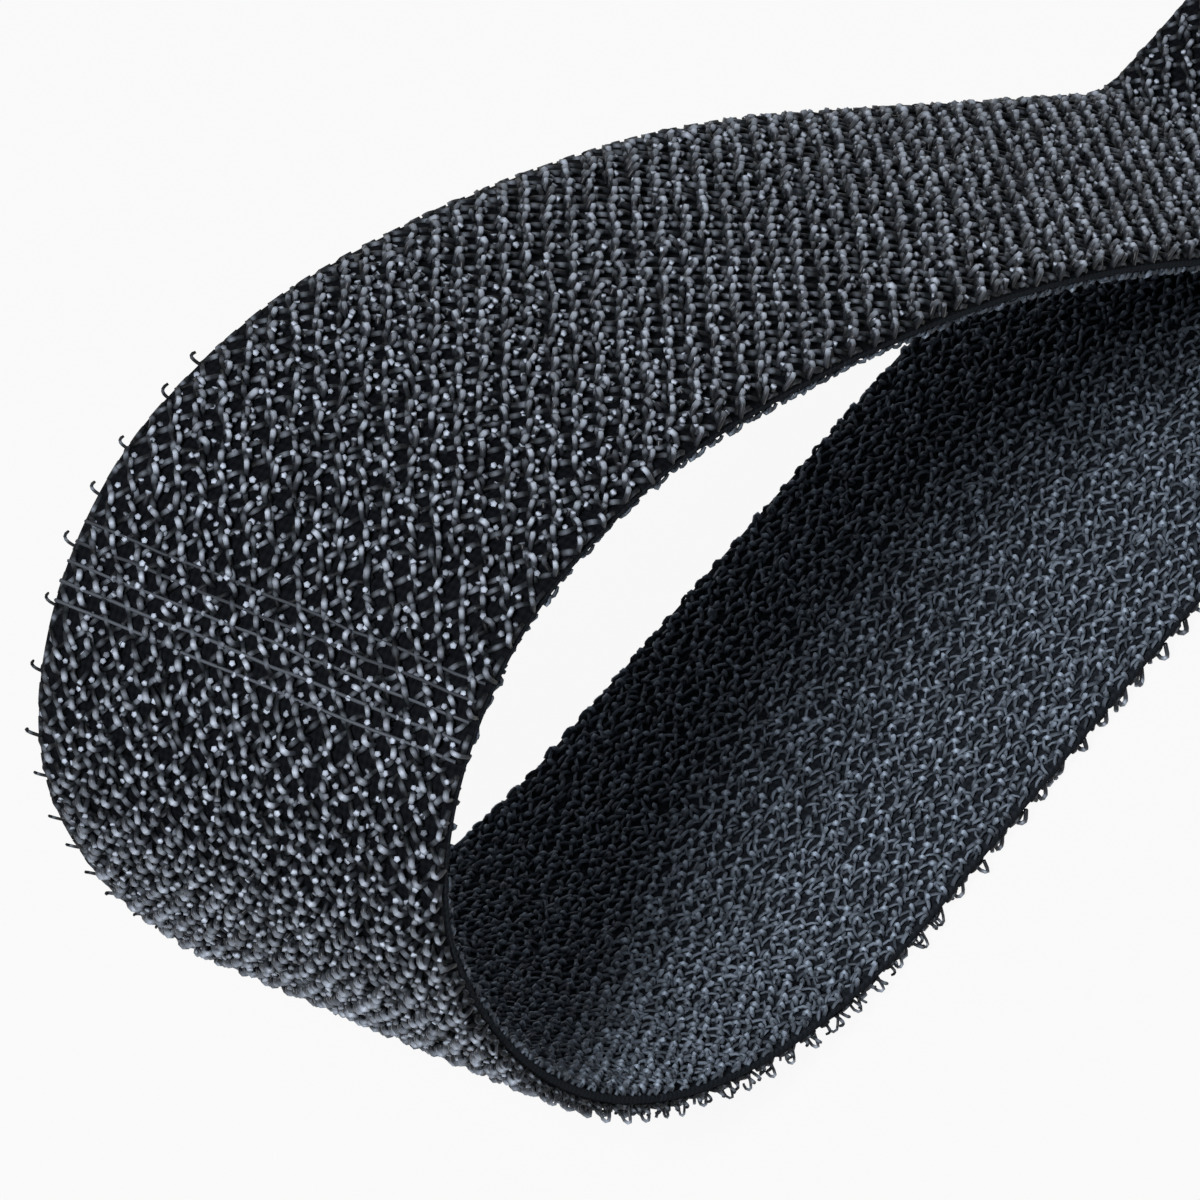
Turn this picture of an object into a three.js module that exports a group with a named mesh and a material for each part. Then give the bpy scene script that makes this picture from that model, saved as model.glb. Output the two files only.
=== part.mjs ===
// A roll of double-sided hook and loop tape, standing on a table, with its loose end curled into a loop.
// The tape is two layers bonded back to back: woven hooks outside, brushed loops inside.
// It leaves the bottom of the roll, lies flat, curls up and over, and its cut end lies back on the flat run.
// Millimetres, with X along the flat run, Y across the tape and +Z up.
// The origin is on the table, under the middle of the lead-out.

import * as THREE from "three";

// Tape
const TAPE_WIDTH = 25;
const HOOK_LAYER = 1.2;
const LOOP_LAYER = 0.7;
const BOND = 0.2;

// Roll: a tube as long as the tape is wide, the inner turns as one pack, and the outermost turn as a spiral strip
const CORE_BORE = 25;
const CORE_WALL = 3;
const TURN_GAP = 0.45;
const INNER_TURNS = 8;
const LEAD_OUT = 24;

// Loose end, followed from the flat run: four tangent bends curl it over, then a descent, a bend back, a tail
const RISE_RADIUS = 38;
const RISE_ANGLE = 80;
const CROWN_RADIUS = 13.5;
const CROWN_ANGLE = 97;
const SHOULDER_RADIUS = 35;
const SHOULDER_ANGLE = 23;
const SLOPE_RADIUS = 140;
const SLOPE_ANGLE = 18;
const RETURN_RADIUS = 8;
const TAIL_LENGTH = 8;
const TAIL_REST_GAP = 0.3;
const TAIL_CLEAR = 50;

// The tape flexes at these many places in each bend, with this much room between neighbouring lengths
const RISE_PIECES = 3;
const CROWN_PIECES = 2;
const SHOULDER_PIECES = 1;
const SLOPE_PIECES = 2;
const FLEX_GAP = 0.7;

// Facets: the largest step along a bend, the steps in one turn of the roll and round the bore
const BEND_STEP_ANGLE = 6;
const TURN_STEPS = 60;
const BORE_STEPS = 64;

const HALF_TURN_ANGLE = 180;

const radians = THREE.MathUtils.degToRad;

// The bond is the tape's neutral surface: offsets are counted from its middle, hooks positive.
const HOOK_FACE = BOND / 2 + HOOK_LAYER;
const LOOP_FACE = -(BOND / 2 + LOOP_LAYER);
const HOOK_SPAN = [BOND / 2, HOOK_FACE];
const LOOP_SPAN = [LOOP_FACE, -BOND / 2];
const TURN_PITCH = HOOK_FACE - LOOP_FACE + TURN_GAP;

// Roll radii, on the neutral surface where the tape itself is meant
const CORE_RADIUS = CORE_BORE / 2 + CORE_WALL;
const PACK_INNER = CORE_RADIUS + TURN_GAP;
const PACK_OUTER = PACK_INNER + INNER_TURNS * TURN_PITCH - TURN_GAP;
const LAST_TURN_START = PACK_OUTER + TURN_GAP - LOOP_FACE;
const LAST_TURN_END = LAST_TURN_START + TURN_PITCH;
const ROLL_X = LEAD_OUT / 2;
const ROLL_Z = HOOK_FACE + LAST_TURN_END;

// A length of the loose end's path: place and heading on the neutral surface after travelling along it.
// A positive turn curls the tape over, to the right of the way it travels.
function walk(from, length, turn) {
  if (turn === 0) {
    return {
      x: from.x + Math.cos(from.heading) * length,
      z: from.z + Math.sin(from.heading) * length,
      heading: from.heading,
    };
  }
  const radius = length / turn;
  const centreX = from.x + Math.sin(from.heading) * radius;
  const centreZ = from.z - Math.cos(from.heading) * radius;
  const heading = from.heading - turn;
  return {
    x: centreX - Math.sin(heading) * radius,
    z: centreZ + Math.cos(heading) * radius,
    heading,
  };
}

// The outline of one layer along a stretch of path, between two offsets from the neutral surface
function stretchOutline(places, span) {
  const offset = (place, distance) =>
    new THREE.Vector2(
      place.x - Math.sin(place.heading) * distance,
      place.z + Math.cos(place.heading) * distance,
    );
  const inner = places.map((place) => offset(place, span[0]));
  const outer = places.map((place) => offset(place, span[1]));
  return [...outer, ...inner.reverse()];
}

// An outline in the X-Z plane, extruded across the tape and centred on it
function acrossTape(outline, width, hole) {
  const shape = new THREE.Shape(outline);
  if (hole) shape.holes.push(new THREE.Path(hole));
  const geometry = new THREE.ExtrudeGeometry(shape, { depth: width, bevelEnabled: false });
  geometry.translate(0, 0, -width / 2);
  geometry.rotateX(Math.PI / 2);
  return geometry;
}

function circle(radius, steps) {
  return Array.from({ length: steps }, (_, i) => {
    const angle = (2 * Math.PI * i) / steps;
    return new THREE.Vector2(ROLL_X + radius * Math.cos(angle), ROLL_Z + radius * Math.sin(angle));
  });
}

// A place on the roll after a part of a turn from its lowest point, up the side that faces the loose end
function onTurn(turned, radius) {
  return {
    x: ROLL_X - radius * Math.sin(turned),
    z: ROLL_Z - radius * Math.cos(turned),
    heading: Math.PI - turned,
  };
}

const hookMaterial = () =>
  new THREE.MeshStandardMaterial({ color: 0x191c21, roughness: 0.45, metalness: 0 });
const loopMaterial = () =>
  new THREE.MeshStandardMaterial({ color: 0x2a313a, roughness: 0.95, metalness: 0 });
const coreMaterial = () =>
  new THREE.MeshStandardMaterial({ color: 0xa98a63, roughness: 0.9, metalness: 0 });

const roll = new THREE.Group();

function addPiece(name, geometry, material) {
  const mesh = new THREE.Mesh(geometry, material);
  mesh.name = name;
  roll.add(mesh);
}

// Core tube
addPiece(
  "core_tube",
  acrossTape(circle(CORE_RADIUS, BORE_STEPS), TAPE_WIDTH, circle(CORE_BORE / 2, BORE_STEPS)),
  coreMaterial(),
);

// The inner turns as one pack: its rim spirals out by one pitch, to the step where the last turn begins
function woundPack() {
  const rim = [];
  for (let i = 0; i <= TURN_STEPS; i++) {
    const share = i / TURN_STEPS;
    const place = onTurn(2 * Math.PI * share, PACK_OUTER + TURN_PITCH * share);
    rim.push(new THREE.Vector2(place.x, place.z));
  }
  const lastOnPack = onTurn(2 * Math.PI, PACK_OUTER);
  rim[TURN_STEPS].x = lastOnPack.x + FLEX_GAP;
  return acrossTape(rim.reverse(), TAPE_WIDTH, circle(PACK_INNER, BORE_STEPS));
}
addPiece("inner_turns", woundPack(), hookMaterial());

// The last turn, from the step round to the lowest point, and on along the table to the first flex line
const lastTurn = [];
for (let i = 0; i <= TURN_STEPS; i++) {
  const share = i / TURN_STEPS;
  lastTurn.push(onTurn(2 * Math.PI * share, LAST_TURN_START + TURN_PITCH * share));
}
const offRoll = { x: ROLL_X, z: HOOK_FACE, heading: Math.PI };
lastTurn[TURN_STEPS] = offRoll;
const leadEnd = walk(offRoll, LEAD_OUT - FLEX_GAP / 2, 0);
const leadStrip = [...lastTurn, leadEnd];
addPiece("last_turn_hooks", acrossTape(stretchOutline(leadStrip, HOOK_SPAN), TAPE_WIDTH), hookMaterial());
addPiece("last_turn_loops", acrossTape(stretchOutline(leadStrip, LOOP_SPAN), TAPE_WIDTH), loopMaterial());

// The least gap between the wound turn and the strip that leaves it, measured on the outlines' points
function leastTurnGap() {
  const insidePoints = stretchOutline(leadStrip, [LOOP_FACE, LOOP_FACE]);
  const outsidePoints = stretchOutline(leadStrip, [HOOK_FACE, HOOK_FACE]);
  let least = Infinity;
  for (let i = 0; i < TURN_STEPS / 2; i++) {
    for (let j = TURN_STEPS / 2; j < leadStrip.length; j++) {
      least = Math.min(least, outsidePoints[i].distanceTo(insidePoints[j]));
    }
  }
  return least;
}
console.log(`least gap between turns ${leastTurnGap().toFixed(2)} mm`);

// The curl, from the far end of the flat run: each entry is a length that stays stiff between two flex lines
const curl = [];
let place = { x: 0, z: HOOK_FACE, heading: Math.PI };

function addLength(name, length, turn) {
  curl.push({ name, start: place, length, turn });
  place = walk(place, length, turn);
}

function addBend(name, radius, sweep, count) {
  const turn = radians(sweep) / count;
  for (let i = 1; i <= count; i++) {
    addLength(count > 1 ? `${name}_${i}` : name, Math.abs(radius * turn), turn);
  }
}

addBend("rise", RISE_RADIUS, RISE_ANGLE, RISE_PIECES);
addBend("crown", CROWN_RADIUS, CROWN_ANGLE, CROWN_PIECES);
addBend("shoulder", SHOULDER_RADIUS, SHOULDER_ANGLE, SHOULDER_PIECES);
addBend("slope", SLOPE_RADIUS, SLOPE_ANGLE, SLOPE_PIECES);

// The straight descent is as long as it must be for the tail to lie on the flat run
const descent = RISE_ANGLE + CROWN_ANGLE + SHOULDER_ANGLE + SLOPE_ANGLE - HALF_TURN_ANGLE;
const tailHeight = HOOK_FACE - 2 * LOOP_FACE + TAIL_REST_GAP;
const returnDrop = RETURN_RADIUS * (1 - Math.cos(radians(descent)));
addLength("descent", (place.z - tailHeight - returnDrop) / Math.sin(radians(descent)), 0);
addBend("return", -RETURN_RADIUS, -descent, 1);
addLength("tail", TAIL_LENGTH, 0);

// Each length has its hook layer and its loop layer, both short of the flex lines by half the gap
function addTape(name, start, length, turn) {
  const steps = Math.max(1, Math.ceil(Math.abs(turn) / radians(BEND_STEP_ANGLE)));
  const trim = FLEX_GAP / 2;
  const places = [];
  for (let i = 0; i <= steps; i++) {
    const along = trim + ((length - 2 * trim) * i) / steps;
    places.push(walk(start, along, (turn * along) / length));
  }
  addPiece(`${name}_hooks`, acrossTape(stretchOutline(places, HOOK_SPAN), TAPE_WIDTH), hookMaterial());
  addPiece(`${name}_loops`, acrossTape(stretchOutline(places, LOOP_SPAN), TAPE_WIDTH), loopMaterial());
}

// The flat run is as long as it must be for the tail's cut end to stay clear of the lead-out
const flatStart = walk(offRoll, LEAD_OUT, 0);
const flatRun = TAIL_CLEAR + place.x;
addTape("flat_run", flatStart, flatRun, 0);
for (const { name, start, length, turn } of curl) {
  addTape(name, { ...start, x: start.x + flatStart.x - flatRun }, length, turn);
}

export default roll;
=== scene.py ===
import math

import bpy
import numpy as np
from mathutils import Matrix, Vector


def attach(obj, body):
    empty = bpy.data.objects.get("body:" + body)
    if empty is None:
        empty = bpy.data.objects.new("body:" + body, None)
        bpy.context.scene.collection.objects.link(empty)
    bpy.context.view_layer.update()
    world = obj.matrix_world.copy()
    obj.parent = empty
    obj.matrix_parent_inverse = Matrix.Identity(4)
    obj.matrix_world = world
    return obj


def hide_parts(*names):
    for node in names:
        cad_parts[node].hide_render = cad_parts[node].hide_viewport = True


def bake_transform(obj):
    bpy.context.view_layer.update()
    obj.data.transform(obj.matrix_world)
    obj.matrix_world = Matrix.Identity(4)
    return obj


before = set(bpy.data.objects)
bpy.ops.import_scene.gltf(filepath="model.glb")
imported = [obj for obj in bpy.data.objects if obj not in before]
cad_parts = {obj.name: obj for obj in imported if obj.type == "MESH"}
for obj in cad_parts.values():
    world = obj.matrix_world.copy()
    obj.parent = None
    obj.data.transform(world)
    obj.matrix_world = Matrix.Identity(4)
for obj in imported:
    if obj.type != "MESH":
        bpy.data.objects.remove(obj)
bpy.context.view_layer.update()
MM = 0.001

# Tape
TAPE_WIDTH = 25.0
HOOK_FACE = 1.3          # offset of the hooks' tips from the tape's neutral surface
LOOP_FACE = -0.8         # offset of the pile's top
GROUND_TOP = 0.42        # the woven ground lies between these two offsets
GROUND_BOTTOM = -0.26
# Roll
TURN_PITCH = 2.55
TURNS = 9
WOUND_SAMPLES = 6000
LAST_TURN_END = 39.7     # radius of the neutral line where the tape leaves the roll
ROLL_X, ROLL_Z = 12.0, 41.0
LEAD_OUT = 24.0          # the tape runs this far along the table before the first flex line
CORE_RADIUS = 15.5
# Loose end: the bends' radii and angles
RISE_RADIUS, RISE_ANGLE = 38.0, 80.0
CROWN_RADIUS, CROWN_ANGLE = 13.5, 97.0
SHOULDER_RADIUS, SHOULDER_ANGLE = 35.0, 23.0
SLOPE_RADIUS, SLOPE_ANGLE = 140.0, 18.0
RETURN_RADIUS = 8.0
DESCENT_ANGLE = RISE_ANGLE + CROWN_ANGLE + SHOULDER_ANGLE + SLOPE_ANGLE - 180
TAIL = 8.0
TAIL_REST_GAP = 0.3      # the tail lies this far above the flat run
TAIL_CLEAR = 50.0        # from the tail's cut end to the start of the flat run


def walk(x, z, heading, length, degrees):
    """The end of a straight or curved length. Positive turns curl over, clockwise in the X-Z plane."""
    turn = math.radians(degrees)
    if turn == 0:
        return x + math.cos(heading) * length, z + math.sin(heading) * length, heading
    r = length / turn
    cx, cz = x + math.sin(heading) * r, z - math.cos(heading) * r
    heading -= turn
    return cx - math.sin(heading) * r, cz + math.cos(heading) * r, heading


def bend(name, radius, angle, pieces):
    """A bend's equal lengths: name, body, length, turn in degrees."""
    names = [f"{name}_{i + 1}" for i in range(pieces)] if pieces > 1 else [name]
    length = abs(radius * math.radians(angle)) / pieces
    return [(n, n, length, angle / pieces) for n in names]


# The loose end's stiff lengths in order. The descent reaches down to the tail's height over the flat run.
CURL = (
    bend("rise", RISE_RADIUS, RISE_ANGLE, 3)
    + bend("crown", CROWN_RADIUS, CROWN_ANGLE, 2)
    + bend("shoulder", SHOULDER_RADIUS, SHOULDER_ANGLE, 1)
    + bend("slope", SLOPE_RADIUS, SLOPE_ANGLE, 2)
)
CURL[0] = ("rise_1", "flat_run", *CURL[0][2:])
at = (0.0, HOOK_FACE, math.pi)
for _, _, length, degrees in CURL:
    at = walk(*at, length, degrees)
fall = at[1] - (HOOK_FACE - 2 * LOOP_FACE + TAIL_REST_GAP)
steep = math.radians(DESCENT_ANGLE)
DESCENT = (fall - RETURN_RADIUS * (1 - math.cos(steep))) / math.sin(steep)
ENDING = (
    [("descent", "descent", DESCENT, 0.0)]
    + bend("return", RETURN_RADIUS, -DESCENT_ANGLE, 1)
    + [("tail", "tail", TAIL, 0.0)]
)
for _, _, length, degrees in ENDING:
    at = walk(*at, length, degrees)
FLAT_RUN = TAIL_CLEAR + at[0]
LENGTHS = [("lead", "roll", LEAD_OUT, 0.0), ("flat_run", "flat_run", FLAT_RUN, 0.0)] + CURL + ENDING


class Path:
    """The tape's neutral line in the X-Z plane, by the distance s from where it leaves the roll.
    Negative s is wound on the roll."""

    def __init__(self):
        x, z, heading = ROLL_X, HOOK_FACE, math.pi
        self.starts = []
        s = 0.0
        for _, _, length, degrees in LENGTHS:
            self.starts.append((s, x, z, heading, length, math.radians(degrees)))
            x, z, heading = walk(x, z, heading, length, degrees)
            s += length
        self.end = s
        # the wound part: angle back from the roll's lowest point, against distance
        self.angles = np.linspace(0, TURNS * 2 * math.pi, WOUND_SAMPLES)
        radius = LAST_TURN_END - TURN_PITCH * self.angles / (2 * math.pi)
        step = np.diff(self.angles) * (radius[1:] + radius[:-1]) / 2
        self.wound = np.concatenate([[0], np.cumsum(step)])

    def start_of(self, name):
        """The distance at which a named length starts."""
        return next(st[0] for st, l in zip(self.starts, LENGTHS) if l[0] == name)

    def middle_of(self, name):
        """The distance of a named length's middle."""
        return next(st[0] + st[4] / 2 for st, l in zip(self.starts, LENGTHS) if l[0] == name)

    def place(self, s):
        """x, z and heading for an array of distances."""
        s = np.asarray(s, float)
        x, z, h = np.zeros_like(s), np.zeros_like(s), np.zeros_like(s)
        back = s < 0
        angle = np.interp(-s, self.wound, self.angles)
        radius = LAST_TURN_END - TURN_PITCH * angle / (2 * math.pi)
        x[back] = (ROLL_X + radius * np.sin(angle))[back]
        z[back] = (ROLL_Z - radius * np.cos(angle))[back]
        h[back] = (math.pi + angle)[back]
        for s0, x0, z0, h0, length, turn in self.starts:
            last = s0 + length >= self.end - 1e-6
            here = (s >= s0) & ((s < s0 + length) | last)
            d = s[here] - s0
            if turn == 0:
                x[here], z[here] = x0 + math.cos(h0) * d, z0 + math.sin(h0) * d
                h[here] = h0
            else:
                r = length / turn
                cx, cz = x0 + math.sin(h0) * r, z0 - math.cos(h0) * r
                h[here] = h0 - turn * d / length
                x[here], z[here] = cx - np.sin(h[here]) * r, cz + np.cos(h[here]) * r
        return x, z, h

    def point(self, s, y, offset):
        """World points in millimetres: along the tape, across it, and off its neutral surface.
        The hooks' side is positive."""
        x, z, h = self.place(s)
        return np.stack([x - np.sin(h) * offset, np.broadcast_to(y, x.shape), z + np.cos(h) * offset], -1)


path = Path()


# Materials
NYLON_IOR = 1.53
HIGHLIGHT_REACH = 0.2        # the painted highlight reaches this far to both sides of a strand's crest, as a share of its length
TINT_LOW, TINT_HIGH = 0.4, 1.6
GROUND_ROUGHNESS, GROUND_SPECULAR = 0.85, 0.04
WEAVE_ALONG, WEAVE_ACROSS, WEAVE_WAVER = 0.7, 0.9, 0.6
WEAVE_BUMP, WEAVE_DEPTH = 0.5, 0.0001


def seen_rays(tree):
    """1 for rays that show the background: from the camera, by a reflection, or through something clear."""
    rays = tree.nodes.new("ShaderNodeLightPath")
    seen = rays.outputs["Is Camera Ray"]
    for ray in ("Is Glossy Ray", "Is Transmission Ray"):
        either = tree.nodes.new("ShaderNodeMath")
        either.operation = "MAXIMUM"
        tree.links.new(seen, either.inputs[0])
        tree.links.new(rays.outputs[ray], either.inputs[1])
        seen = either.outputs[0]
    return seen


def material(name):
    m = bpy.data.materials.new(name)
    m.use_nodes = True
    return m, m.node_tree.nodes, m.node_tree.links, m.node_tree.nodes["Principled BSDF"]


def set_inputs(node, **values):
    for key, value in values.items():
        node.inputs[key.replace("_", " ")].default_value = value


def strand_material(name, foot, crest_highlight, crest_at, roughness, specular, flank=0.25):
    """Nylon strands in their own dark colour at the foot, with a painted highlight of paler colour over the
    crest, each with a tint of its own.
    """
    m, nodes, links, bsdf = material(name)
    set_inputs(bsdf, Roughness=roughness, IOR=NYLON_IOR)
    bsdf.inputs["Specular IOR Level"].default_value = specular
    place = nodes.new("ShaderNodeUVMap")
    place.uv_map = "Strand"
    split = nodes.new("ShaderNodeSeparateXYZ")
    links.new(place.outputs["UV"], split.inputs[0])
    # painted highlight: the ramp runs from the strand's own dark colour at the foot to a paler colour over
    # the crest, where glossy nylon catches the lamp
    ramp = nodes.new("ShaderNodeValToRGB")
    ramp.color_ramp.elements[0].position = 0.0
    ramp.color_ramp.elements[0].color = (*foot, 1)
    ramp.color_ramp.elements[1].position = crest_at
    ramp.color_ramp.elements[1].color = (*crest_highlight, 1)
    highlight_edge = [(1 - flank) * a + flank * b for a, b in zip(foot, crest_highlight)]
    for position in (crest_at - HIGHLIGHT_REACH, crest_at + HIGHLIGHT_REACH):
        if 0 < position < 1:
            ramp.color_ramp.elements.new(position).color = (*highlight_edge, 1)
    links.new(split.outputs["X"], ramp.inputs["Fac"])
    tint = nodes.new("ShaderNodeMapRange")
    set_inputs(tint, To_Min=TINT_LOW, To_Max=TINT_HIGH)
    links.new(split.outputs["Y"], tint.inputs["Value"])
    scale = nodes.new("ShaderNodeVectorMath")
    scale.operation = "SCALE"
    links.new(ramp.outputs["Color"], scale.inputs[0])
    links.new(tint.outputs["Result"], scale.inputs["Scale"])
    links.new(scale.outputs["Vector"], bsdf.inputs["Base Color"])
    return m


def ground_material(name, dark, light):
    """Woven nylon, with waves along and across the tape for its threads."""
    m, nodes, links, bsdf = material(name)
    set_inputs(bsdf, Roughness=GROUND_ROUGHNESS)
    bsdf.inputs["Specular IOR Level"].default_value = GROUND_SPECULAR
    uv = nodes.new("ShaderNodeUVMap")
    wave_x = nodes.new("ShaderNodeTexWave")
    wave_x.bands_direction = "X"
    set_inputs(wave_x, Scale=WEAVE_ACROSS, Distortion=WEAVE_WAVER)
    wave_y = nodes.new("ShaderNodeTexWave")
    wave_y.bands_direction = "Y"
    set_inputs(wave_y, Scale=WEAVE_ALONG, Distortion=WEAVE_WAVER)
    for wave in (wave_x, wave_y):
        links.new(uv.outputs["UV"], wave.inputs["Vector"])
    weave = nodes.new("ShaderNodeMix")
    weave.data_type = "FLOAT"
    weave.inputs[0].default_value = 0.5
    links.new(wave_x.outputs["Fac"], weave.inputs[2])
    links.new(wave_y.outputs["Fac"], weave.inputs[3])
    ramp = nodes.new("ShaderNodeValToRGB")
    ramp.color_ramp.elements[0].color = (*dark, 1)
    ramp.color_ramp.elements[1].color = (*light, 1)
    links.new(weave.outputs[0], ramp.inputs["Fac"])
    links.new(ramp.outputs["Color"], bsdf.inputs["Base Color"])
    bump = nodes.new("ShaderNodeBump")
    set_inputs(bump, Strength=WEAVE_BUMP, Distance=WEAVE_DEPTH)
    links.new(weave.outputs[0], bump.inputs["Height"])
    links.new(bump.outputs["Normal"], bsdf.inputs["Normal"])
    return m


# Painted highlights: each strand's paler crest colour stands in for the lamp's glint on it. A stub's
# highlight sits at its cut end, and the ground stitches and the pile's loops and fibres have one over their
# tops. The weft has none.
HOOK = strand_material(
    "hook_monofilament", foot=(0.006, 0.007, 0.009), crest_highlight=(0.324, 0.366, 0.439),
    crest_at=0.55, roughness=0.34, specular=0.15, flank=0.10,
)
STUB = strand_material(
    "hook_stub", foot=(0.006, 0.007, 0.009), crest_highlight=(0.336, 0.380, 0.460),
    crest_at=1.0, roughness=0.34, specular=0.15, flank=0.05,
)
YARN = strand_material(
    "ground_stitch", foot=(0.004, 0.005, 0.006), crest_highlight=(0.125, 0.142, 0.171),
    crest_at=0.5, roughness=0.5, specular=0.08, flank=0.06,
)
WEFT = strand_material(
    "weft_thread", foot=(0.085, 0.096, 0.115), crest_highlight=(0.085, 0.096, 0.115),
    crest_at=0.5, roughness=0.5, specular=0.08,
)
PILE = strand_material(
    "loop_pile", foot=(0.045, 0.055, 0.071), crest_highlight=(0.270, 0.329, 0.417),
    crest_at=0.5, roughness=0.42, specular=0.12,
)
FIBRE = strand_material(
    "loop_fibre", foot=(0.050, 0.061, 0.078), crest_highlight=(0.125, 0.152, 0.193),
    crest_at=0.5, roughness=0.5, specular=0.08, flank=0.6,
)
GROUND = ground_material("woven_ground", dark=(0.002, 0.0025, 0.0035), light=(0.006, 0.007, 0.009))
PILE_GROUND = ground_material("loop_ground", dark=(0.008, 0.010, 0.013), light=(0.020, 0.024, 0.031))


def mesh_piece(name, points, face_sets, surfaces, maps):
    """A mesh object from millimetre points and sets of faces.
    Each set is (faces of one size, material index).
    maps holds, by name, one row of coordinates per face corner in the same order."""
    mesh = bpy.data.meshes.new(name)
    mesh.vertices.add(len(points))
    mesh.vertices.foreach_set("co", (np.asarray(points, float) * MM).astype(np.float32).ravel())
    face_sets = [(np.asarray(faces, np.int32), index) for faces, index in face_sets if len(faces)]
    sizes = np.concatenate([np.full(len(faces), faces.shape[1], np.int32) for faces, _ in face_sets])
    corners = np.concatenate([faces.ravel() for faces, _ in face_sets])
    mesh.loops.add(len(corners))
    mesh.loops.foreach_set("vertex_index", corners)
    mesh.polygons.add(len(sizes))
    mesh.polygons.foreach_set("loop_start", np.concatenate([[0], np.cumsum(sizes)[:-1]]).astype(np.int32))
    mesh.polygons.foreach_set(
        "material_index",
        np.concatenate([np.full(len(faces), index, np.int32) for faces, index in face_sets]),
    )
    mesh.update(calc_edges=True)
    mesh.polygons.foreach_set("use_smooth", np.full(len(sizes), True))
    for map_name, rows in maps.items():
        layer = mesh.uv_layers.new(name=map_name)
        layer.data.foreach_set("uv", np.asarray(rows, np.float32).ravel())
    for surface in surfaces:
        mesh.materials.append(surface)
    obj = bpy.data.objects.new(name, mesh)
    bpy.context.scene.collection.objects.link(obj)
    return obj


def tubes(lines, radii, sides):
    """Round strands with closed ends: lines is (count, points, 3) and radii (count, points).
    Returns points, side quads and end caps."""
    count, n, _ = lines.shape
    tangent = np.gradient(lines, axis=1)
    tangent /= np.linalg.norm(tangent, axis=2, keepdims=True) + 1e-12
    # the strand lies near one plane, whose normal gives a steady frame along it
    normal = np.cross(lines[:, -1] - lines[:, 0], lines[:, n // 2] - lines[:, 0])
    size = np.linalg.norm(normal, axis=1, keepdims=True)
    normal = np.where(size > 1e-9, normal / (size + 1e-12), np.array([0.0, 1.0, 0.0]))
    normal = np.repeat(normal[:, None], n, 1)
    other = np.cross(tangent, normal)
    other /= np.linalg.norm(other, axis=2, keepdims=True) + 1e-12
    normal = np.cross(other, tangent)
    angle = np.arange(sides) * 2 * math.pi / sides
    ring = (
        normal[:, :, None] * np.cos(angle)[None, None, :, None]
        + other[:, :, None] * np.sin(angle)[None, None, :, None]
    )
    points = lines[:, :, None] + ring * radii[:, :, None, None]
    k = np.arange(sides)
    after = (k + 1) % sides
    i = np.arange(n - 1)[:, None] * sides
    quad = np.stack([i + k, i + sides + k, i + sides + after, i + after], -1).reshape(-1, 4)
    first = np.arange(count)[:, None, None] * n * sides
    quads = (first + quad[None]).reshape(-1, 4)
    caps = (first + np.stack([k, (n - 1) * sides + k[::-1]])[None]).reshape(-1, sides)
    return points.reshape(-1, 3), quads, caps


# A strand's cell in the map for baking: its side takes the lower part, and its two end caps lie above that.
SIDE_MARGIN, SIDE_WIDTH, SIDE_HEIGHT = 0.05, 0.9, 0.7
CAP_PLACES, CAP_RADIUS = ((0.25, 0.88), (0.75, 0.88)), 0.08


def tube_map(count, n, sides, cell, cells):
    """Face corners' places for tubes() in a square of cells x cells: one cell a strand, from cell on."""
    k = np.arange(sides)
    i = np.arange(n - 1)[:, None]
    u = np.stack([k, k, k + 1, k + 1], -1)[None].repeat(n - 1, 0) / sides
    v = np.stack([i, i + 1, i + 1, i], -1).repeat(sides, 1) / (n - 1)
    quad = np.stack([SIDE_MARGIN + SIDE_WIDTH * u, SIDE_MARGIN + SIDE_HEIGHT * v], -1).reshape(-1, 2)
    turn = k * 2 * math.pi / sides
    disc = np.stack([CAP_RADIUS * np.cos(turn), CAP_RADIUS * np.sin(turn)], -1)
    cap = np.concatenate([disc + place for place in CAP_PLACES])
    index = np.arange(count) + cell
    corner = np.stack([index % cells, index // cells], -1)[:, None]
    return [((corner + quad) / cells).reshape(-1, 2), ((corner + cap) / cells).reshape(-1, 2)]


def strand_map(rng, count, n, sides):
    """Face corners' distance along their strand, from 0 to 1, and a number of the strand's own."""
    own = rng.random(count)
    i = np.arange(n - 1)[:, None]
    along = (np.stack([i, i + 1, i + 1, i], -1).repeat(sides, 1) / (n - 1)).ravel()
    ends = np.repeat([0.0, 1.0], sides)
    return [
        np.stack([np.tile(part, count), np.repeat(own, len(part))], -1)
        for part in (along, ends)
    ]


def strands_piece(name, rng, groups, surfaces):
    """One mesh of several groups of strands, each (lines, radii, sides, material index)."""
    cells = math.ceil(math.sqrt(sum(len(lines) for lines, *_ in groups)))
    points, sets, places, strands, start, cell = [], [], [], [], 0, 0
    for lines, radii, sides, index in groups:
        count, n, _ = lines.shape
        p, quads, caps = tubes(lines, radii, sides)
        sets += [(quads + start, index), (caps + start, index)]
        places += tube_map(count, n, sides, cell, cells)
        strands += strand_map(rng, count, n, sides)
        points.append(p)
        start += len(p)
        cell += count
    maps = {"Strand": np.concatenate(strands), "OFBake": np.concatenate(places)}
    return mesh_piece(name, np.concatenate(points), sets, surfaces, maps)


# The ground thins towards its edges: distances from the edge and the offsets there.
SELVEDGE = 0.7
SELVEDGE_TOP = [(0.0, 0.16), (0.12, 0.26), (SELVEDGE, GROUND_TOP)]
SELVEDGE_BOTTOM = [(0.0, -0.10), (0.12, -0.20), (SELVEDGE, GROUND_BOTTOM)]


def ground_top(y):
    """The offset of the ground's hook side at places across the tape."""
    return np.interp(TAPE_WIDTH / 2 - np.abs(y), *zip(*SELVEDGE_TOP))


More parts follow.
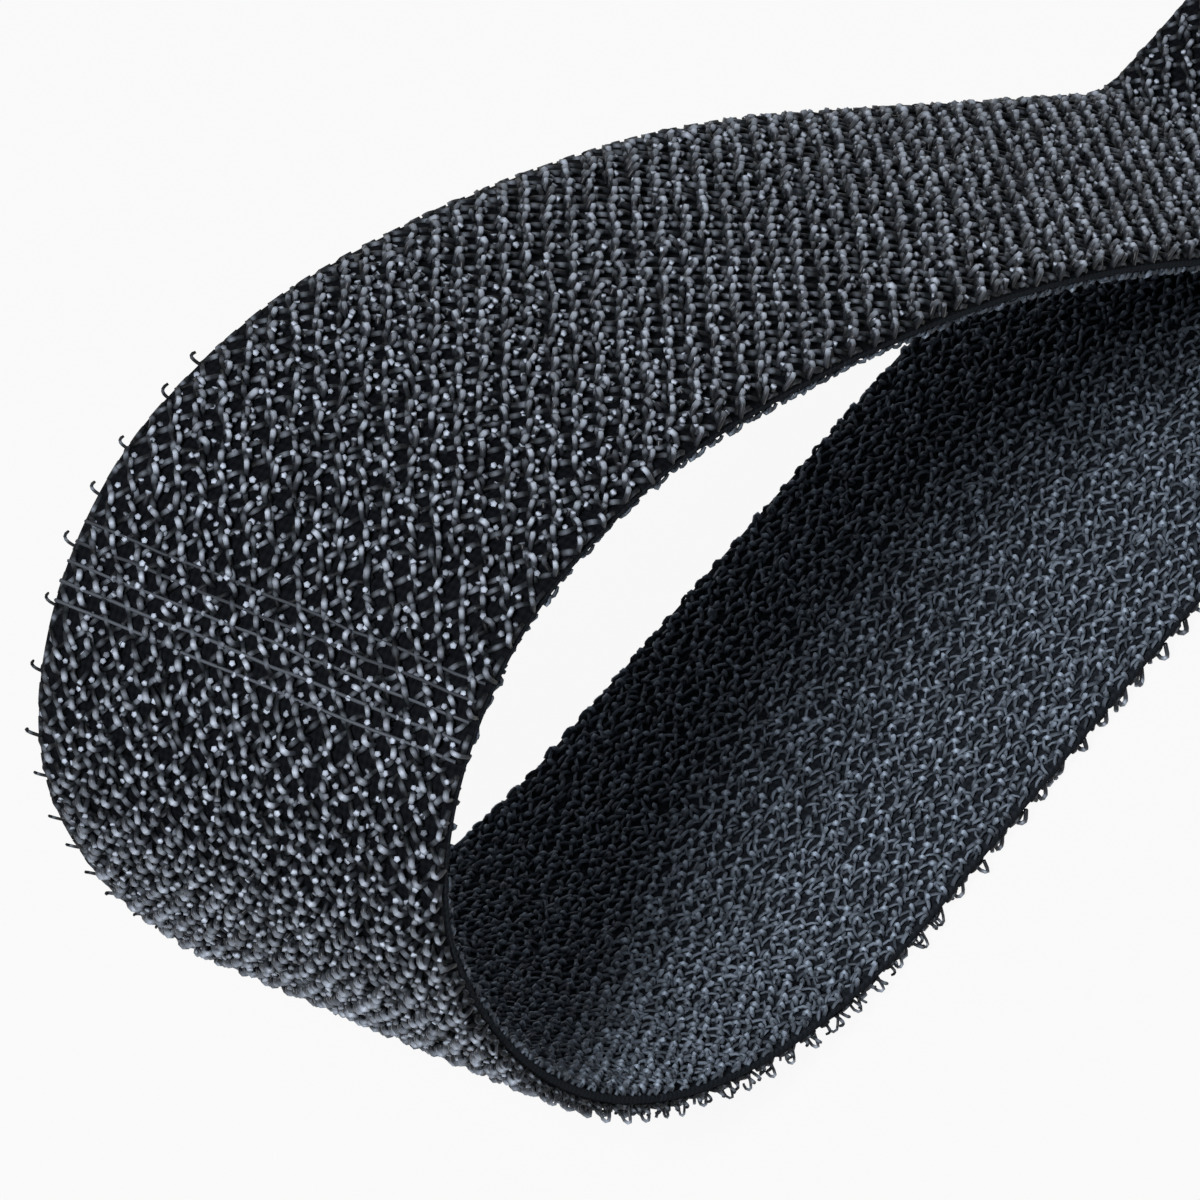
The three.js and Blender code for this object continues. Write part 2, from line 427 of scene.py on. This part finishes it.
def ground_piece(name, s0, s1, step):
    """The woven ground of the tape from s0 to s1: a closed sheet that thins at both selvedges."""
    rows = max(2, int(math.ceil((s1 - s0) / step)) + 1)
    s = np.linspace(s0, s1, rows)
    half = TAPE_WIDTH / 2
    upper = [(-half + d, o) for d, o in SELVEDGE_TOP]
    lower = [(-half + d, o) for d, o in SELVEDGE_BOTTOM]
    profile = upper + [(-y, o) for y, o in reversed(upper)]
    profile += [(-y, o) for y, o in lower] + lower[::-1]
    count = len(profile)
    points = np.stack([path.point(s, y, o) for y, o in profile], 1)
    k = np.arange(count)
    i = np.arange(rows - 1)[:, None] * count
    after = (k + 1) % count
    quads = np.stack([i + k, i + after, i + count + after, i + count + k], -1).reshape(-1, 4)
    caps = np.stack([k[::-1], (rows - 1) * count + k])
    across = np.array([y for y, _ in profile])
    place = np.stack([np.tile(across, rows), np.repeat(s, count)], -1)
    # the profile's second half is the loop side
    under = np.tile(k >= count // 2, rows - 1)
    sets = [(quads[~under], 0), (quads[under], 1), (caps, 0)]
    uv = np.concatenate([place[faces.ravel()] for faces, _ in sets])
    return mesh_piece(name, points.reshape(-1, 3), sets, [GROUND, PILE_GROUND], {"UVMap": uv})


# Wound turns are locked into each other out to here, unevenly.
LOCKED_EDGE = 11.3
LOCKED_WAVER = 0.4
LOCKED_OVERLAP = 0.03    # the strip reaches this far into the two grounds
LOCKED_WEAVE = 0.6


def locked_piece(name, s0, s1, step, seed):
    """The hooks and loops of wound turns, locked in each other: a dense uneven strip.
    It reaches from the loop side of one turn's ground to the hook side of the next one's, or to the core."""
    rng = np.random.default_rng(seed)
    rows = int(math.ceil((s1 - s0) / step)) + 1
    s = np.linspace(s0, s1, rows)
    x, z, _ = path.place(s)
    to_core = CORE_RADIUS - np.hypot(x - ROLL_X, z - ROLL_Z)
    top = np.full(rows, GROUND_BOTTOM + LOCKED_OVERLAP)
    low = np.maximum(GROUND_TOP - TURN_PITCH - LOCKED_OVERLAP, to_core)
    levels = [top, top * 0.7 + low * 0.3, top * 0.3 + low * 0.7, low]
    points = []
    for side, run in ((-1, levels), (1, levels[::-1])):
        for level in run:
            edge = LOCKED_EDGE + rng.uniform(-LOCKED_WAVER, LOCKED_WAVER, rows)
            points.append(path.point(s, side * edge, level))
    points = np.stack(points, 1)
    count = points.shape[1]
    k = np.arange(count)
    i = np.arange(rows - 1)[:, None] * count
    after = (k + 1) % count
    quads = np.stack([i + k, i + count + k, i + count + after, i + after], -1).reshape(-1, 4)
    caps = np.stack([k, (rows - 1) * count + k[::-1]])
    place = np.stack([np.tile(k * LOCKED_WEAVE, rows), np.repeat(s, count)], -1)
    sets = [(quads, 0), (caps, 0)]
    uv = np.concatenate([place[faces.ravel()] for faces, _ in sets])
    return mesh_piece(name, points.reshape(-1, 3), sets, [PILE_GROUND], {"UVMap": uv})


# Hooks stand in rows across the tape, each row shifted half a pitch from the one before.
ROW_PITCH = 1.0
HOOK_EDGE = 12.3         # the outermost hooks' roots
HOOK_PITCH = 2 * HOOK_EDGE / 17
HOOK_SCATTER = (0.07, 0.08)      # how far hooks stray along and across the tape
HOOK_LINE = math.atan2(ROW_PITCH, HOOK_PITCH / 2)        # they face along a diagonal of the rows
FACING_SCATTER = 0.35
HOOK_LEAN = -0.22        # the hooks lean towards the near edge, and each a little its own way
LEAN_SCATTER = 0.18
STRAND_RADIUS = 0.165
STITCH_RADIUS = 0.17
WEFT_RADIUS = 0.1
EDGE_HOOK_RADIUS = 0.09
RADIUS_RANGE = (0.85, 1.1)       # strands differ this much in thickness
HOOK_SIDES, YARN_SIDES = 5, 4
HOOK_SURFACES = [HOOK, STUB, YARN, WEFT]
OF_HOOK, OF_STUB, OF_YARN, OF_WEFT = range(len(HOOK_SURFACES))
HOOK_HEIGHT = (0.84, 1.0)        # shares of the room under the hooks' tips
ARCH_RADIUS = (0.20, 0.28)
ARCH_DROP = (0.1, 0.35)          # the cut end hangs this far below the arch
ROOT_DEPTH = 0.16        # hooks and stubs start this far inside the ground
STEM_END, ARCH_END = 0.3, 0.85   # shares of a hook's length
STUB_OUT = (0.5, 0.74)   # a stub's distance from its hook's root
STUB_RISE, BETWEEN_RISE = (0.6, 0.95), (0.45, 0.8)       # shares of the hook's height, and of the stub's
STUB_TURN = 0.3          # the cut ends stand a little beside the line of the hooks
STITCH_RUN, STITCH_SPAN, STITCH_START = 1.1, 0.6, 0.1    # a stitch's reach in row pitches and hook pitches
STITCH_HEIGHT, STITCH_RISE = 0.3, (0.4, 1.2)
CROSS_STITCH = 0.55      # the stitch across the line of the hooks is lower
THREAD_HEIGHT = 0.26
# Along the far edge the hooks are bent down over this width, and none stands at its very border.
BENT_WIDTH, BENT_DOWN, BENT_IN = 2.2, 0.72, 0.5
BARE_EDGE = 0.45
# Round the tight crown weft threads and more cut ends show, and loose hooks stick out along the far edge.
LOOSE_FROM, LOOSE_TO = path.middle_of("rise_2"), path.middle_of("shoulder")
EDGE_HOOK_PITCH = 3.1
EDGE_HOOK_REACH, EDGE_HOOK_CURL = (0.55, 0.8), (0.35, 0.6)
CROWN_FROM, CROWN_TO = path.start_of("crown_1"), path.middle_of("slope_1")
CROWN_FADE = 10
THREADS_FROM, THREADS_TO = path.start_of("crown_2"), path.start_of("crown_2") + 5
THREAD_HOOKS = 0.8       # the share of hooks left among the threads
# Round the lower bend the near edge has a fringe of loose hooks, and the hooks there are finer and lean out.
FRINGE_FROM, FRINGE_TO = path.start_of("rise_1"), path.start_of("crown_1")
FRINGE_FADE, FRINGE_LEAST = 8, 0.2
FRINGE_PITCH = 0.9
FRINGE_REACH, FRINGE_CURL = (0.35, 0.85), (-0.4, 0.5)
FRINGE_LEAN, FRINGE_FINE = 0.35, 0.48


def staggered(s0, s1, row_pitch, pitch, edge):
    """Places of a staggered lattice that is fixed along the whole tape: s, y and row number."""
    rows = np.arange(math.ceil(s0 / row_pitch), math.ceil(s1 / row_pitch))
    cols = np.arange(int(2 * edge / pitch) + 1)
    row, col = (grid.ravel() for grid in np.meshgrid(rows, cols, indexing="ij"))
    y = -edge + (col + 0.5 * (row % 2)) * pitch
    keep = y <= edge
    return row[keep] * row_pitch, y[keep], row[keep]


def on_tape(along, across, offset, low=-TAPE_WIDTH / 2, high=TAPE_WIDTH / 2):
    """Strand points on the tape from arrays of one row a strand, kept within its edges and cut end."""
    along, across = np.minimum(along, path.end), np.clip(across, low, high)
    along, across, offset = np.broadcast_arrays(along, across, offset)
    return path.point(along.ravel(), across.ravel(), offset.ravel()).reshape(*along.shape, 3)


def thick(rng, lines, radius, last=1.0):
    """Radii for strands, a little different from one to the next, with the last ring drawn in."""
    radii = np.full(lines.shape[:2], radius) * rng.uniform(*RADIUS_RANGE, len(lines))[:, None]
    radii[:, -1] *= last
    return radii


def edge_hooks(rng, s0, s1, pitch, span, side, reach, curl):
    """Loose hooks along one edge of a bend, sticking out and curling: a list with their group, if any."""
    roots = np.arange(math.ceil(s0 / pitch), math.ceil(s1 / pitch)) * pitch
    roots = roots[(roots > span[0]) & (roots < span[1])][:, None]
    if not len(roots):
        return []
    t = np.linspace(0, 1, 7)[None]
    out = rng.uniform(*reach, roots.shape) * np.sin(2.2 * t)
    half = TAPE_WIDTH / 2
    lines = on_tape(
        roots + rng.normal(0, 0.3, roots.shape) + rng.uniform(*curl, roots.shape) * t ** 2,
        side * (half - 0.3 + out),
        GROUND_TOP - 0.1 + 0.35 * t,
        -half - 0.8,
        half + 0.8,
    )
    return [(lines, thick(rng, lines, EDGE_HOOK_RADIUS, 0.8), HOOK_SIDES, OF_YARN)]


def hook_lines(rng, s, y, facing, height, bent, at_near_edge):
    """The hooks' middle lines: up the stem, over the arch, and down to the cut end."""
    n = len(s)
    arch = np.minimum(rng.uniform(*ARCH_RADIUS, n), 0.8 * height)[:, None]
    drop = (rng.uniform(*ARCH_DROP, n) * (1 - bent))[:, None]
    t = np.linspace(0, 1, 8)[None]
    stem = np.clip(t / STEM_END, 0, 1)
    over = np.clip((t - STEM_END) / (ARCH_END - STEM_END), 0, 1) * math.pi
    fall = np.clip((t - ARCH_END) / (1 - ARCH_END), 0, 1)
    # out along the hook's own plane, and up from the ground
    u = -arch * np.cos(over) - 0.1 * (1 - stem)
    v = stem * (height[:, None] - arch) + arch * np.sin(over) - fall * drop
    v = np.maximum(v, 0.05 * t) - ROOT_DEPTH * (1 - stem)
    lean_s = rng.normal(0, LEAN_SCATTER, n)[:, None]
    lean_y = HOOK_LEAN - BENT_IN * bent - FRINGE_LEAN * at_near_edge + rng.normal(0, LEAN_SCATTER, n)
    return on_tape(
        s[:, None] + u * np.sin(facing)[:, None] + v * lean_s,
        y[:, None] + u * np.cos(facing)[:, None] + v * lean_y[:, None],
        GROUND_TOP + v,
        -TAPE_WIDTH / 2 - 0.6,
        TAPE_WIDTH / 2 - 0.3,
    )


def stub_lines(rng, s, y, facing, height, bent):
    """The stubs that the cutting left under the hooks' ends, and more of them between the lines of hooks."""
    n = len(s)
    t = np.linspace(0, 1, 4)[None]
    out = rng.uniform(*STUB_OUT, n)
    rise = height * rng.uniform(*STUB_RISE, n) * (1 - bent)
    v = rise[:, None] * t - ROOT_DEPTH * (1 - t)
    tip = rng.normal(0, 0.25, (n, 2))
    stubs = on_tape(
        s[:, None] + (out * np.sin(facing + STUB_TURN))[:, None] + v * tip[:, :1],
        y[:, None] + (out * np.cos(facing + STUB_TURN))[:, None] + v * (tip[:, 1:] + HOOK_LEAN),
        GROUND_TOP + v,
        -TAPE_WIDTH / 2 + 0.05,
        TAPE_WIDTH / 2 - 0.15,
    )
    # round the crown only a share of the second kind is used, which fades in and out along the tape
    share = np.interp(
        s, [CROWN_FROM, CROWN_FROM + CROWN_FADE, CROWN_TO - CROWN_FADE, CROWN_TO], [0.0, 1.0, 1.0, 0.0]
    )
    more = (rng.random(n) < share) & (np.abs(y) < HOOK_EDGE - 1)
    v = v * rng.uniform(*BETWEEN_RISE, (n, 1))
    tip = rng.normal(0, 0.5, (n, 2))
    between = on_tape(
        s[:, None] + ROW_PITCH * (0.5 + rng.normal(0, 0.12, (n, 1))) + v * tip[:, :1],
        y[:, None] - HOOK_PITCH * (0.25 + rng.normal(0, 0.08, (n, 1))) + v * tip[:, 1:],
        GROUND_TOP + v,
    )
    return stubs, between, more


def stitch_lines(rng, s, y, bent):
    """Ground stitches, two from each hook's foot to the next row: along the line of hooks and across it."""
    n = 2 * len(s)
    s, y, bent = np.repeat(s, 2)[:, None], np.repeat(y, 2)[:, None], np.repeat(bent, 2)
    side = np.tile([1.0, -1.0], n // 2)[:, None]
    flat = ((1 - bent) * np.tile([1.0, CROSS_STITCH], n // 2))[:, None]
    t = np.linspace(0, 1, 6)[None]
    wave = np.sin(math.pi * t)
    run = s + (t - STITCH_START) * ROW_PITCH * STITCH_RUN + rng.normal(0, 0.1, (n, 1))
    run = run + rng.normal(0, 0.14, (n, 1)) * wave
    across = y + side * (t - STITCH_START) * HOOK_PITCH * STITCH_SPAN + rng.normal(0, 0.1, (n, 1))
    across = across + rng.normal(0, 0.14, (n, 1)) * wave
    across = np.clip(across, 0.15 - TAPE_WIDTH / 2, TAPE_WIDTH / 2 - 0.25)
    up = STITCH_HEIGHT * wave * flat * rng.uniform(*STITCH_RISE, (n, 1))
    return on_tape(run, across, ground_top(across) + 0.03 + up)


def weft_group(rng, s0, s1):
    """Weft threads between the rows of the tight bend: a list with their group, if any."""
    rows = (np.arange(math.ceil(s0 / ROW_PITCH), math.ceil(s1 / ROW_PITCH)) + 0.45) * ROW_PITCH
    rows = rows[(rows > THREADS_FROM) & (rows < THREADS_TO)]
    if not len(rows):
        return []
    t = np.linspace(-TAPE_WIDTH / 2 + 0.25, TAPE_WIDTH / 2 - 0.25, 16)
    weft = on_tape(
        rows[:, None] + rng.normal(0, 0.04, (len(rows), len(t))),
        t[None],
        GROUND_TOP + THREAD_HEIGHT + rng.normal(0, 0.05, (len(rows), len(t))),
    )
    return [(weft, thick(rng, weft, WEFT_RADIUS), YARN_SIDES, OF_WEFT)]


def hook_piece(name, s0, s1, seed, edges_only=False):
    """The monofilament hooks whose roots lie between s0 and s1, and the stubs their cutting left.
    The ground's stitches and weft threads between them belong to the piece."""
    rng = np.random.default_rng(seed)
    s, y, _ = staggered(s0, s1, ROW_PITCH, HOOK_PITCH, HOOK_EDGE)
    if edges_only:
        keep = np.abs(y) > HOOK_EDGE - 1.5 * HOOK_PITCH
        s, y = s[keep], y[keep]
    n = len(s)
    s = s + rng.normal(0, HOOK_SCATTER[0], n)
    y = np.clip(y + rng.normal(0, HOOK_SCATTER[1], n), -HOOK_EDGE, HOOK_EDGE)
    there = (s < THREADS_FROM) | (s > THREADS_TO) | (rng.random(n) < THREAD_HOOKS)
    there &= y < HOOK_EDGE - BARE_EDGE
    facing = HOOK_LINE + rng.normal(0, FACING_SCATTER, n)
    bent = np.interp(y, [HOOK_EDGE - BENT_WIDTH, HOOK_EDGE], [0.0, 1.0])
    at_near_edge = np.interp(y, [-HOOK_EDGE, 1.0 - HOOK_EDGE], [1.0, 0.0]) * np.interp(
        s,
        [FRINGE_FROM - FRINGE_FADE, FRINGE_FROM, FRINGE_TO - FRINGE_FADE, FRINGE_TO],
        [FRINGE_LEAST, 1.0, 1.0, FRINGE_LEAST],
    )
    height = rng.uniform(*HOOK_HEIGHT, n) * (1 - BENT_DOWN * bent) * (HOOK_FACE - GROUND_TOP - STRAND_RADIUS)
    hooks = hook_lines(rng, s, y, facing, height, bent, at_near_edge)[there]
    stubs, between, more = stub_lines(rng, s, y, facing, height, bent)
    stubs, between = stubs[there], between[there & more]
    stitches = stitch_lines(rng, s, y, bent)
    fine = 1 - FRINGE_FINE * at_near_edge[there][:, None]
    groups = [
        (hooks, thick(rng, hooks, STRAND_RADIUS, 0.7) * fine, HOOK_SIDES, OF_HOOK),
        (stubs, thick(rng, stubs, STRAND_RADIUS) * fine, HOOK_SIDES, OF_STUB),
        (stitches, thick(rng, stitches, STITCH_RADIUS), YARN_SIDES, OF_YARN),
    ]
    if len(between):
        groups.append((between, thick(rng, between, STRAND_RADIUS), HOOK_SIDES, OF_STUB))
    if not edges_only:
        groups += weft_group(rng, s0, s1)
        loose, fringe = (LOOSE_FROM, LOOSE_TO), (FRINGE_FROM, FRINGE_TO)
        groups += edge_hooks(rng, s0, s1, EDGE_HOOK_PITCH, loose, 1, EDGE_HOOK_REACH, EDGE_HOOK_CURL)
        groups += edge_hooks(rng, s0, s1, FRINGE_PITCH, fringe, -1, FRINGE_REACH, FRINGE_CURL)
    return strands_piece(name, rng, groups, HOOK_SURFACES)


# The pile's loops, too, stand in staggered rows, with two low fibres from each to the next row.
PILE_ROW_PITCH = 0.82
PILE_PITCH = 0.775
PILE_EDGE = 12.25
PILE_INSET = 0.1         # the pile keeps this far inside the tape's edges
LOOP_SCATTER, FIBRE_SCATTER = 0.07, 0.08
LOOP_RADIUS, FIBRE_RADIUS = 0.15, 0.125
LOOP_SIDES, FIBRE_SIDES = 4, 3
# Half spans, and heights as shares of the room under the pile's top
LOOP_REACH, LOOP_HEIGHT = (0.13, 0.20), (0.75, 1.0)
FIBRE_REACH, FIBRE_HEIGHT = (0.32, 0.5), (0.35, 0.75)


def pile_strands(rng, s, y, reach, height, spread, facing, radius):
    """Arched fibres over the loop face: half spans, heights, sideways leans and directions on the tape."""
    t = np.linspace(0, math.pi, 5)
    u = -reach[:, None] * np.cos(t)[None]
    v = height[:, None] * np.sin(t)[None] ** 0.8 - 0.03
    side = v * spread[:, None]
    lines = on_tape(
        s[:, None] + u * np.sin(facing)[:, None] + side * np.cos(facing)[:, None],
        y[:, None] + u * np.cos(facing)[:, None] - side * np.sin(facing)[:, None],
        GROUND_BOTTOM - v,
        -TAPE_WIDTH / 2 + PILE_INSET,
        TAPE_WIDTH / 2 - PILE_INSET,
    )
    return lines, thick(rng, lines, radius)


def pile_piece(name, s0, s1, seed):
    """The loop pile between s0 and s1."""
    rng = np.random.default_rng(seed)
    s, y, row = staggered(s0, s1, PILE_ROW_PITCH, PILE_PITCH, PILE_EDGE)
    n = len(s)
    room = GROUND_BOTTOM - LOOP_FACE - LOOP_RADIUS
    s = s + rng.normal(0, LOOP_SCATTER, n)
    y = np.clip(y + rng.normal(0, LOOP_SCATTER, n), -PILE_EDGE, PILE_EDGE)
    reach = rng.uniform(*LOOP_REACH, n)
    height = rng.uniform(*LOOP_HEIGHT, n) * room
    spread = rng.normal(0, 0.5, n)
    facing = rng.normal(0, 0.7, n) + np.where(row % 2 == 1, 0.6, -0.6)
    loops = pile_strands(rng, s, y, reach, height, spread, facing, LOOP_RADIUS)
    # two low fibres run from each loop to the next row's
    side = np.tile([1.0, -1.0], n)
    n = 2 * n
    s = np.repeat(s, 2) + PILE_ROW_PITCH / 2 + rng.normal(0, FIBRE_SCATTER, n)
    y = np.repeat(y, 2) + side * PILE_PITCH / 4 + rng.normal(0, FIBRE_SCATTER, n)
    reach = rng.uniform(*FIBRE_REACH, n)
    height = rng.uniform(*FIBRE_HEIGHT, n) * room
    spread = rng.normal(0, 0.6, n)
    facing = np.arctan2(PILE_ROW_PITCH, side * PILE_PITCH / 2) + rng.normal(0, 0.3, n)
    fibres = pile_strands(rng, s, y, reach, height, spread, facing, FIBRE_RADIUS)
    groups = [(*loops, LOOP_SIDES, 0), (*fibres, FIBRE_SIDES, 1)]
    return strands_piece(name, rng, groups, [PILE, FIBRE])


def metres(s):
    """The place of the tape's neutral line at a distance, in metres."""
    x, z, _ = path.place(np.array([s]))
    return (float(x[0]) * MM, 0.0, float(z[0]) * MM)


# Steps along the tape, the cuts of the flat run, and the first seeds of each kind of piece.
WOUND_STEP, LOCKED_STEP, LOOSE_STEP = 1.5, 1.2, 0.8
FLAT_CUT_1, FLAT_CUT_2 = 55.0, 100.0
OUTER_SEED, LEAD_SEED, INNER_SEED, LOCKED_SEED = 100, 120, 140, 150
HOOK_SEED, PILE_SEED = 200, 300
# The wound part and half of the lead-out ride with the roll.
LEAD_MIDDLE = LEAD_OUT / 2
LAST_TURN = float(np.interp(2 * math.pi, path.angles, path.wound))
WOUND = float(path.wound[-1])
wound_ground = ground_piece("wound_tape_ground", -WOUND, LEAD_MIDDLE, WOUND_STEP)
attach(wound_ground, "roll")
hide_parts("inner_turns")
OUTER_PIECES = 4
for i in range(OUTER_PIECES):
    a = -LAST_TURN + (LAST_TURN + LEAD_MIDDLE) * i / OUTER_PIECES
    b = -LAST_TURN + (LAST_TURN + LEAD_MIDDLE) * (i + 1) / OUTER_PIECES
    piece = hook_piece(f"outer_turn_hooks_{i + 1}", a, b, OUTER_SEED + i)
    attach(piece, "roll")
    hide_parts("last_turn_hooks")
# Between the inner turns only the hooks along the two edges can be seen.
INNER_PIECES = 3
for i in range(INNER_PIECES):
    a = -WOUND + (WOUND - LAST_TURN) * i / INNER_PIECES
    b = -WOUND + (WOUND - LAST_TURN) * (i + 1) / INNER_PIECES
    piece = hook_piece(f"inner_turn_hooks_{i + 1}", a, b, INNER_SEED + i, edges_only=True)
    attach(piece, "roll")
locked = locked_piece("wound_turn_pile", -WOUND, 0.0, LOCKED_STEP, LOCKED_SEED)
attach(locked, "roll")
lead_pile = pile_piece("lead_out_pile", 0.0, LEAD_MIDDLE, LEAD_SEED)
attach(lead_pile, "roll")
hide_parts("last_turn_loops")

# From there each stretch crosses one flex line, from the middle of one length to the middle of the next.
# The long flat run has two more stretches that lie wholly on it.
STRETCHES = [
    ("flat_run", LEAD_MIDDLE, FLAT_CUT_1, "roll", "flat_run", ["flat_run"]),
    ("flat_middle", FLAT_CUT_1, FLAT_CUT_2, "flat_run", None, []),
    ("flat_end", FLAT_CUT_2, path.middle_of("rise_1"), "flat_run", None, ["rise_1"]),
]
before = "rise_1"
for name, body, *_ in LENGTHS[3:]:
    upto = path.end if name == "tail" else path.middle_of(name)
    STRETCHES.append((name, path.middle_of(before), upto, STRETCHES[-1][4] or "flat_run", body, [name]))
    before = name
EASE = 10.0              # the tape's place is looked up this far to both sides of each stretch's flex line, and not used further
for i, (label, s0, s1, a, b, stands_for) in enumerate(STRETCHES):
    ground = ground_piece(f"tape_ground_{label}", s0, s1, LOOSE_STEP)
    hooks = hook_piece(f"tape_hooks_{label}", s0, s1, HOOK_SEED + i)
    pile = pile_piece(f"tape_pile_{label}", s0, s1, PILE_SEED + i)
    for piece, slot in ((ground, "hook_tape"), (hooks, "hook_tape"), (pile, "loop_tape")):
        if b is None:
            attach(piece, a)
        else:
            hinge = path.start_of(label)
            metres(max(s0, hinge - EASE))
            metres(min(s1, hinge + EASE))
            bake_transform(piece)
    for node in stands_for:
        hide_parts(node + "_hooks")
        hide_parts(node + "_loops")


def core_material():
    """Mottled brown paperboard."""
    m, nodes, links, bsdf = material("paperboard")
    set_inputs(bsdf, Roughness=0.85)
    noise = nodes.new("ShaderNodeTexNoise")
    set_inputs(noise, Scale=300.0, Detail=6.0)
    coords = nodes.new("ShaderNodeTexCoord")
    ramp = nodes.new("ShaderNodeValToRGB")
    ramp.color_ramp.elements[0].color = (0.25, 0.17, 0.10, 1)
    ramp.color_ramp.elements[1].color = (0.46, 0.34, 0.22, 1)
    links.new(coords.outputs["Object"], noise.inputs["Vector"])
    links.new(noise.outputs["Fac"], ramp.inputs["Fac"])
    links.new(ramp.outputs["Color"], bsdf.inputs["Base Color"])
    bump = nodes.new("ShaderNodeBump")
    set_inputs(bump, Strength=0.4, Distance=0.0003)
    links.new(noise.outputs["Fac"], bump.inputs["Height"])
    links.new(bump.outputs["Normal"], bsdf.inputs["Normal"])
    return m


core = bpy.data.objects["core_tube"]
core.data.materials.clear()
core.data.materials.append(core_material())


# Floor, light and camera
FLOOR_GREY = 0.36
FLOOR_WHITE = 0.93       # the share of plain white in what the camera sees of the floor
HALF_FLOOR = 3.0
FLOOR_DROP = 0.0002      # the floor lies just under the object


def floor_material():
    """A pale floor, near white where it is seen, that still takes the object's shadow."""
    m, nodes, links, bsdf = material("floor")
    set_inputs(bsdf, Roughness=0.9)
    bsdf.inputs["Base Color"].default_value = (FLOOR_GREY, FLOOR_GREY, FLOOR_GREY, 1)
    glow = nodes.new("ShaderNodeEmission")
    glow.inputs["Strength"].default_value = 1.0
    factor = nodes.new("ShaderNodeMath")
    factor.operation = "MULTIPLY"
    factor.inputs[1].default_value = FLOOR_WHITE
    links.new(seen_rays(m.node_tree), factor.inputs[0])
    mix = nodes.new("ShaderNodeMixShader")
    links.new(factor.outputs[0], mix.inputs[0])
    links.new(bsdf.outputs[0], mix.inputs[1])
    links.new(glow.outputs[0], mix.inputs[2])
    links.new(mix.outputs[0], nodes["Material Output"].inputs["Surface"])
    return m


floor_mesh = bpy.data.meshes.new("floor")
floor_mesh.from_pydata(
    [(x * HALF_FLOOR, y * HALF_FLOOR, 0) for x, y in ((-1, -1), (1, -1), (1, 1), (-1, 1))],
    [],
    [(0, 1, 2, 3)],
)
floor = bpy.data.objects.new("floor", floor_mesh)
floor_mesh.materials.append(floor_material())
bpy.context.scene.collection.objects.link(floor)
floor.location.z = -FLOOR_DROP

# The camera's angles, distance and target were fitted to the photo's outlines.
AZIMUTH, ELEVATION, ROLL = math.radians(48.627), math.radians(44.508), math.radians(10.006)
DISTANCE = 619.5
TARGET = np.array([path.place(np.array([path.start_of("rise_1")]))[0][0] - 8.14, 0.0, 26.17])
LENS = 360.0
look = np.array([
    math.sin(AZIMUTH) * math.cos(ELEVATION),
    math.cos(AZIMUTH) * math.cos(ELEVATION),
    -math.sin(ELEVATION),
])
level = np.array([math.cos(AZIMUTH), -math.sin(AZIMUTH), 0.0])
plumb = np.cross(look, level)
right = math.cos(ROLL) * level + math.sin(ROLL) * plumb
down = -math.sin(ROLL) * level + math.cos(ROLL) * plumb
camera_data = bpy.data.cameras.new("camera")
camera_data.lens = LENS
camera_data.sensor_width = 36.0
camera_data.clip_start = 0.01
camera = bpy.data.objects.new("camera", camera_data)
bpy.context.scene.collection.objects.link(camera)
place = (TARGET - look * DISTANCE) * MM
camera.matrix_world = Matrix((
    (right[0], -down[0], -look[0], place[0]),
    (right[1], -down[1], -look[1], place[1]),
    (right[2], -down[2], -look[2], place[2]),
    (0, 0, 0, 1),
))
bpy.context.scene.camera = camera


def area_light(name, where, target, size, power):
    data = bpy.data.lights.new(name, "AREA")
    data.size = size
    data.energy = power
    lamp = bpy.data.objects.new(name, data)
    bpy.context.scene.collection.objects.link(lamp)
    lamp.location = where
    lamp.rotation_euler = (Vector(target) - Vector(where)).to_track_quat("-Z", "Y").to_euler()


# Both lamps aim at the loop, in metres and watts.
LOOP_MIDDLE = np.array([-0.12, 0.0, 0.02])
LAMP_DISTANCE = 0.9
LAMPS = [
    ("key", np.array([-0.620, -0.214, 0.755]), 0.16, 8.0),
    ("fill", np.array([0.243, 0.907, 0.342]), 0.5, 0.56),
]
for name, direction, size, power in LAMPS:
    area_light(name, tuple(LOOP_MIDDLE + direction * LAMP_DISTANCE), tuple(LOOP_MIDDLE), size, power)

WORLD_COLOUR, WORLD_STRENGTH = (0.93, 0.96, 1.0, 1), 0.1
world = bpy.data.worlds.new("world")
bpy.context.scene.world = world
world.use_nodes = True
tree = world.node_tree
light = tree.nodes["Background"]
light.inputs["Color"].default_value = WORLD_COLOUR
light.inputs["Strength"].default_value = WORLD_STRENGTH
white = tree.nodes.new("ShaderNodeBackground")
white.inputs["Color"].default_value = (1, 1, 1, 1)
show = tree.nodes.new("ShaderNodeMixShader")
tree.links.new(seen_rays(tree), show.inputs[0])
tree.links.new(light.outputs[0], show.inputs[1])
tree.links.new(white.outputs[0], show.inputs[2])
tree.links.new(show.outputs[0], tree.nodes["World Output"].inputs["Surface"])

bpy.context.scene.view_settings.view_transform = "Standard"
